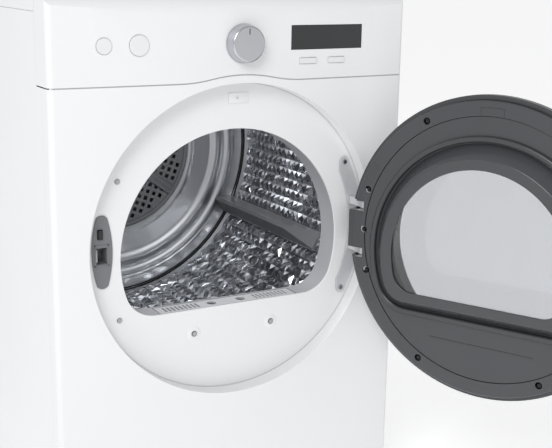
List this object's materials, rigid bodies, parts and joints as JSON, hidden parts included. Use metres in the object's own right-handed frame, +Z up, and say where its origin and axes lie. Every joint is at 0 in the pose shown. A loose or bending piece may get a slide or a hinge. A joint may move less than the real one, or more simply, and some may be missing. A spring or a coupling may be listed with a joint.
{
  "type": "clothes dryer",
  "caption": "Free-standing front-loading tumble dryer with a round side-hinged door, faceted steel drum, lint filter, control panel and rear exhaust outlet.",
  "frame": {"origin": "on the floor at the middle of the four levelling feet", "axes": "+X to the viewer's right facing the door, +Y into the machine towards the exhaust outlet, +Z up"},
  "size_m": [0.8455, 1.2507, 0.984],
  "materials": {
    "white_enamel": "satin baked enamel",
    "white_fascia": "smooth, slightly glossy",
    "zinc_steel": "plain galvanised",
    "stainless_drum": "polished stainless with pressed facets",
    "stainless_rear": "brushed in circles",
    "duct_aluminium": "plain",
    "grey_plastic": "satin",
    "grille_plastic": "satin",
    "filter_plastic": "satin",
    "filter_mesh": "fine woven mesh",
    "door_grey": "satin dark grey",
    "door_shell_grey": "smooth dark grey",
    "clear_glass": "clear",
    "window_glass": "lightly tinted",
    "display_glass": "smoked gloss",
    "black_rubber": "matte",
    "roller_rubber": "matte",
    "foot_rubber": "matte",
    "felt": "pressed felt",
    "hinge_steel": "silver-white paint",
    "leaf_steel": "plated",
    "screw_steel": "bright plated",
    "latch_plastic": "satin",
    "black_plastic": "matte",
    "duct_plastic": "matte",
    "fan_plastic": "matte",
    "motor_iron": "painted",
    "shaft_steel": "turned",
    "board_green": "lacquered",
    "button_plastic": "smooth",
    "knob_metal": "spun",
    "heater_ceramic": "ceramic",
    "sensor_steel": "bright",
    "lamp_glass": "frosted"
  },
  "bodies": {
    "cabinet": {"base_pan": "zinc_steel", "left_side_panel": "white_enamel", "right_side_panel": "white_enamel", "rear_panel": "zinc_steel", "top_cover": "white_enamel", "front_panel": "white_enamel", "control_panel": "white_fascia", "display_window": "display_glass", "control_board": "board_green", "front_collar": "grey_plastic", "front_bulkhead": "zinc_steel", "rear_bulkhead": "stainless_rear", "drum_felt_seals": "felt", "air_inlet_grille": "grille_plastic", "drum_belt": "black_rubber", "roller_axles": "shaft_steel", "motor": "motor_iron", "blower_housing": "duct_plastic", "exhaust_duct": "duct_aluminium", "idler_spring": "shaft_steel", "heater_duct": "zinc_steel", "heater_element": "heater_ceramic", "lint_duct": "duct_plastic", "moisture_sensor_bars": "sensor_steel", "drum_light_lens": "lamp_glass", "latch_plate": "latch_plastic", "hinge_bracket": "hinge_steel", "cabinet_screws": "screw_steel", "terminal_cover": "zinc_steel"},
    "door": {"door_inner_frame": "door_grey", "door_bezel": "door_grey", "door_inner_glass": "clear_glass", "door_gasket": "black_rubber", "door_outer_ring": "door_shell_grey", "door_outer_window": "window_glass", "door_latch_hook": "black_plastic", "door_hinge_leaf": "leaf_steel", "door_screws": "screw_steel"},
    "drum": {"drum_shell": "stainless_drum", "drum_lifters": "grey_plastic"},
    "blower_rotor": {"motor_shaft": "shaft_steel", "blower_wheel": "fan_plastic"},
    "idler_arm": {"idler_arm": "shaft_steel"},
    "idler_wheel": {"idler_pulley": "fan_plastic"},
    "front_roller_left": {"front_roller_left": "roller_rubber"},
    "front_roller_right": {"front_roller_right": "roller_rubber"},
    "rear_roller_left": {"rear_roller_left": "roller_rubber"},
    "rear_roller_right": {"rear_roller_right": "roller_rubber"},
    "cycle_knob": {"cycle_knob": "knob_metal"},
    "power_button": {"power_button": "button_plastic"},
    "start_button": {"start_button": "button_plastic"},
    "option_button_1": {"option_button_1": "button_plastic"},
    "option_button_2": {"option_button_2": "button_plastic"},
    "door_switch": {"door_switch_plunger": "black_plastic"},
    "lint_filter": {"lint_filter_frame": "filter_plastic", "lint_filter_screen": "filter_mesh"},
    "foot_front_left": {"levelling_foot_front_left": "foot_rubber"},
    "foot_front_right": {"levelling_foot_front_right": "foot_rubber"},
    "foot_rear_left": {"levelling_foot_rear_left": "foot_rubber"},
    "foot_rear_right": {"levelling_foot_rear_right": "foot_rubber"}
  },
  "joints": [
    {"name": "door_hinge", "type": "hinge", "parent": "cabinet", "child": "door", "pos_m": [0.252, -0.3735, 0.5595], "axis": [0, 0, 1], "range_deg": [-116.5, 13.5]},
    {"name": "drum_spin", "type": "hinge", "parent": "cabinet", "child": "drum", "pos_m": [0, 0, 0.625], "axis": [0, 1, 0], "continuous": true},
    {"name": "blower_spin", "type": "hinge", "parent": "cabinet", "child": "blower_rotor", "pos_m": [0.13, 0, 0.125], "axis": [0, 1, 0], "continuous": true},
    {"name": "idler_arm_swing", "type": "hinge", "parent": "cabinet", "child": "idler_arm", "pos_m": [0.092, 0.081, 0.148], "axis": [0, 1, 0], "range_deg": [-8, 0], "stiffness_Nm_per_rad": 2, "springref_deg": 17.19},
    {"name": "idler_spin", "type": "hinge", "parent": "idler_arm", "child": "idler_wheel", "pos_m": [0.05, 0.069, 0.19], "axis": [0, 1, 0], "continuous": true},
    {"name": "cycle_knob_turn", "type": "hinge", "parent": "cabinet", "child": "cycle_knob", "pos_m": [0, -0.36, 0.905], "axis": [0, 1, 0], "continuous": true},
    {"name": "door_switch_press", "type": "slide", "parent": "cabinet", "child": "door_switch", "axis": [0, 1, 0], "range_m": [0, 0.004], "stiffness_N_per_m": 150, "springref_m": -0.004},
    {"name": "lint_filter_lift", "type": "slide", "parent": "cabinet", "child": "lint_filter", "axis": [0, 0, 1], "range_m": [0, 0.15]},
    {"name": "front_roller_left_spin", "type": "hinge", "parent": "cabinet", "child": "front_roller_left", "pos_m": [-0.21739, -0.238, 0.34675], "axis": [0, 1, 0], "continuous": true},
    {"name": "front_roller_right_spin", "type": "hinge", "parent": "cabinet", "child": "front_roller_right", "pos_m": [0.21739, -0.238, 0.34675], "axis": [0, 1, 0], "continuous": true},
    {"name": "rear_roller_left_spin", "type": "hinge", "parent": "cabinet", "child": "rear_roller_left", "pos_m": [-0.21739, 0.21, 0.34675], "axis": [0, 1, 0], "continuous": true},
    {"name": "rear_roller_right_spin", "type": "hinge", "parent": "cabinet", "child": "rear_roller_right", "pos_m": [0.21739, 0.21, 0.34675], "axis": [0, 1, 0], "continuous": true},
    {"name": "power_button_press", "type": "slide", "parent": "cabinet", "child": "power_button", "axis": [0, 1, 0], "range_m": [0, 0.0015], "stiffness_N_per_m": 400, "springref_m": -0.002},
    {"name": "start_button_press", "type": "slide", "parent": "cabinet", "child": "start_button", "axis": [0, 1, 0], "range_m": [0, 0.0015], "stiffness_N_per_m": 400, "springref_m": -0.002},
    {"name": "option_button_1_press", "type": "slide", "parent": "cabinet", "child": "option_button_1", "axis": [0, 1, 0], "range_m": [0, 0.0015], "stiffness_N_per_m": 400, "springref_m": -0.002},
    {"name": "option_button_2_press", "type": "slide", "parent": "cabinet", "child": "option_button_2", "axis": [0, 1, 0], "range_m": [0, 0.0015], "stiffness_N_per_m": 400, "springref_m": -0.002},
    {"name": "foot_front_left_screw", "type": "slide", "parent": "cabinet", "child": "foot_front_left", "axis": [0, 0, -1], "range_m": [0, 0.015]},
    {"name": "foot_front_right_screw", "type": "slide", "parent": "cabinet", "child": "foot_front_right", "axis": [0, 0, -1], "range_m": [0, 0.015]},
    {"name": "foot_rear_left_screw", "type": "slide", "parent": "cabinet", "child": "foot_rear_left", "axis": [0, 0, -1], "range_m": [0, 0.015]},
    {"name": "foot_rear_right_screw", "type": "slide", "parent": "cabinet", "child": "foot_rear_right", "axis": [0, 0, -1], "range_m": [0, 0.015]}
  ],
  "couplings": [
    {"joint": "blower_spin", "follows": "drum_spin", "ratio": 25.984},
    {"joint": "idler_spin", "follows": "drum_spin", "ratio": -15.257},
    {"joint": "front_roller_left_spin", "follows": "drum_spin", "ratio": -15.036},
    {"joint": "front_roller_right_spin", "follows": "drum_spin", "ratio": -15.036},
    {"joint": "rear_roller_left_spin", "follows": "drum_spin", "ratio": -15.036},
    {"joint": "rear_roller_right_spin", "follows": "drum_spin", "ratio": -15.036}
  ]
}
